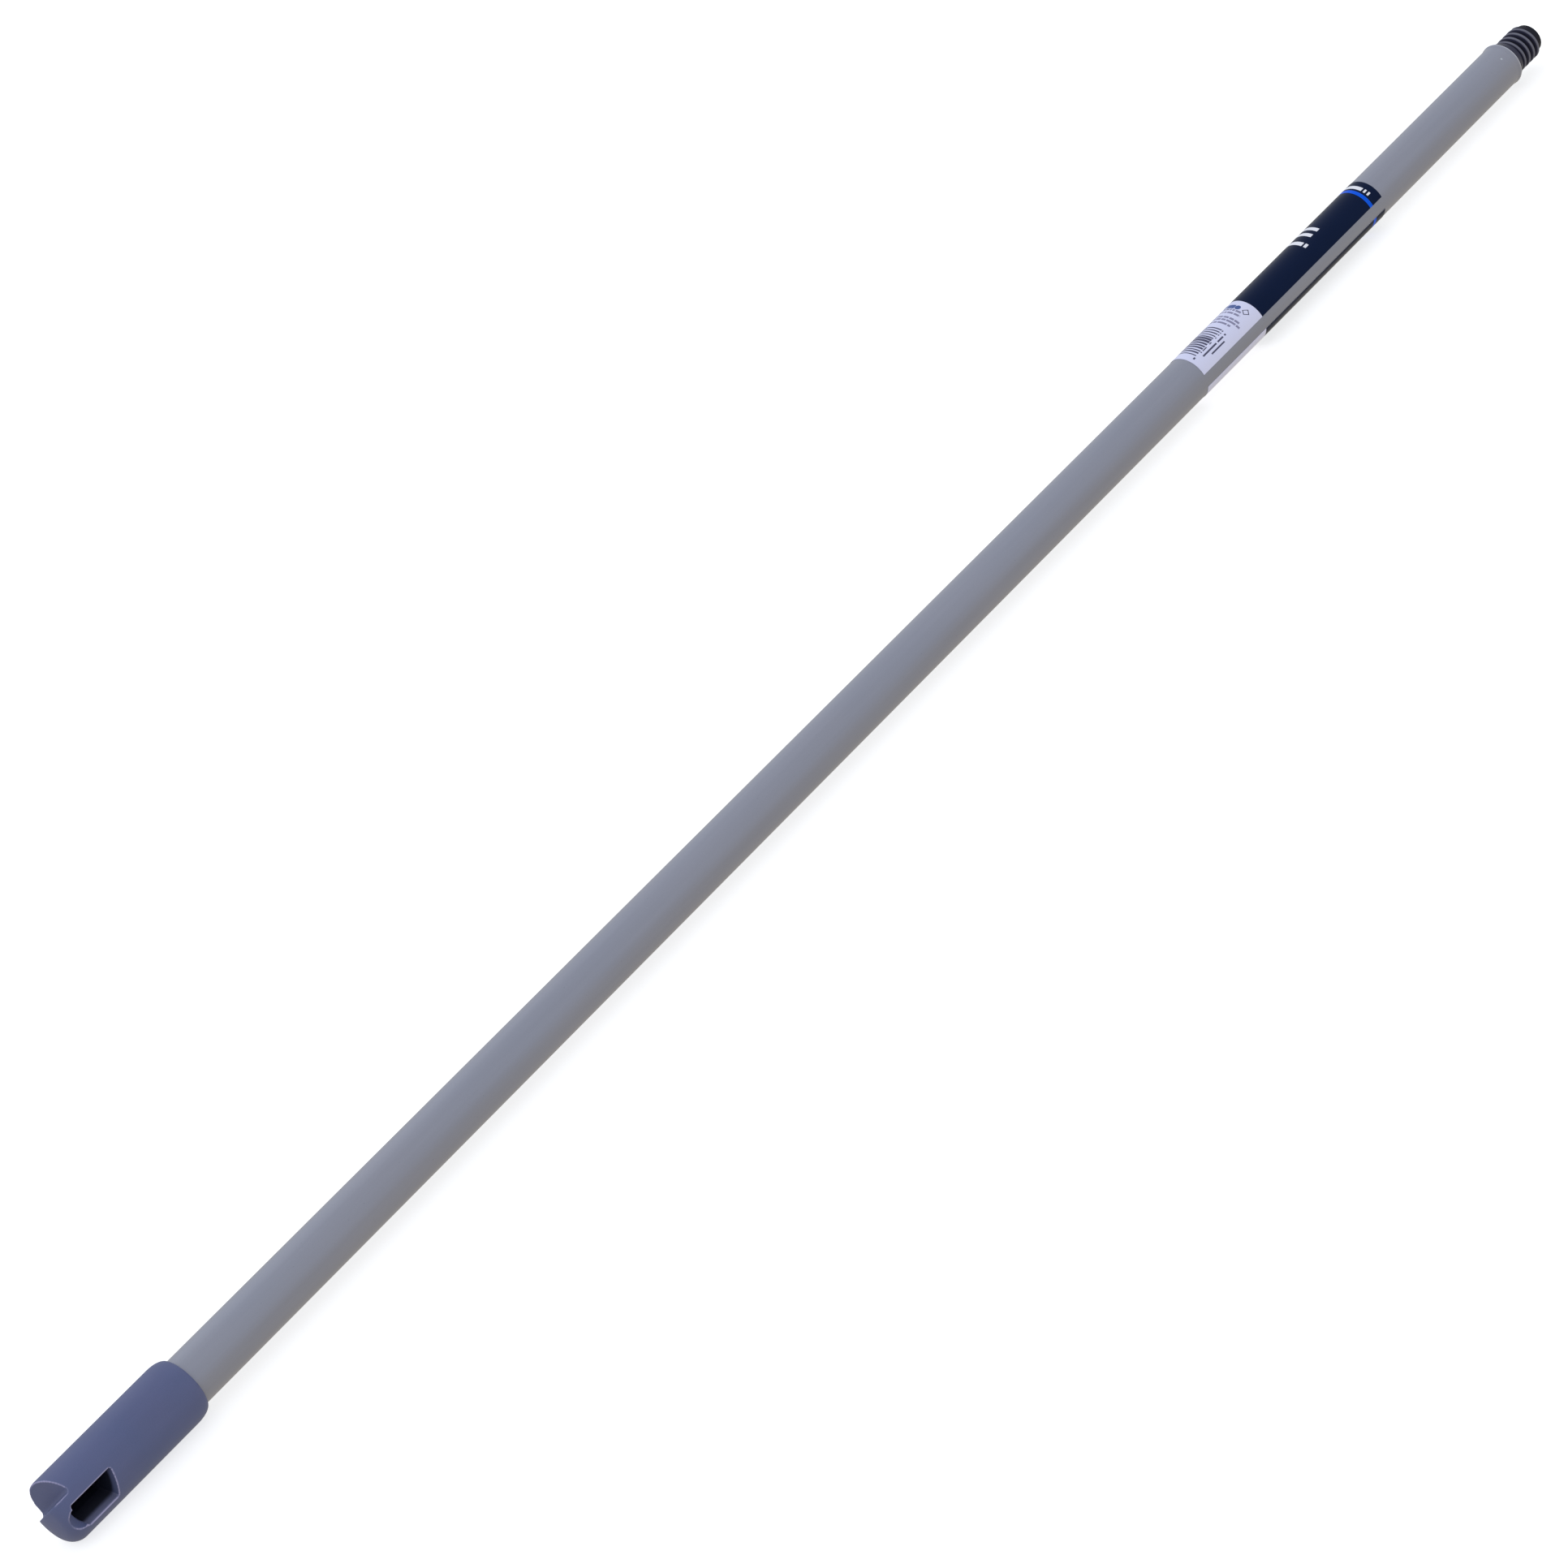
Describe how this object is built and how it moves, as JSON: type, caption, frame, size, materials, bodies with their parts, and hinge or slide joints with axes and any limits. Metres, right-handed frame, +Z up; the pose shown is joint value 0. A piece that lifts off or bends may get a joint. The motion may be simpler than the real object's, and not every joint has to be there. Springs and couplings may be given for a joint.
{
  "type": "roller extension pole",
  "caption": "Fixed-length paint roller extension pole: coated steel tube with a slotted plastic end cap, a threaded plastic tip and a wrapped label.",
  "frame": {"origin": "middle of the pole's length, on the surface that it lies on, straight below its axis", "axes": "+X along the pole towards the threaded tip, +Z up, -Y the side with the slot in the end cap"},
  "size_m": [1.2, 0.032, 0.0319],
  "materials": {
    "tube_coating": "satin",
    "cap_plastic": "satin moulded",
    "tip_plastic": "satin moulded",
    "label_film": "glossy printed film"
  },
  "bodies": {
    "root": {"tube": "tube_coating", "end_cap": "cap_plastic", "threaded_tip": "tip_plastic", "label": "label_film"}
  },
  "joints": []
}
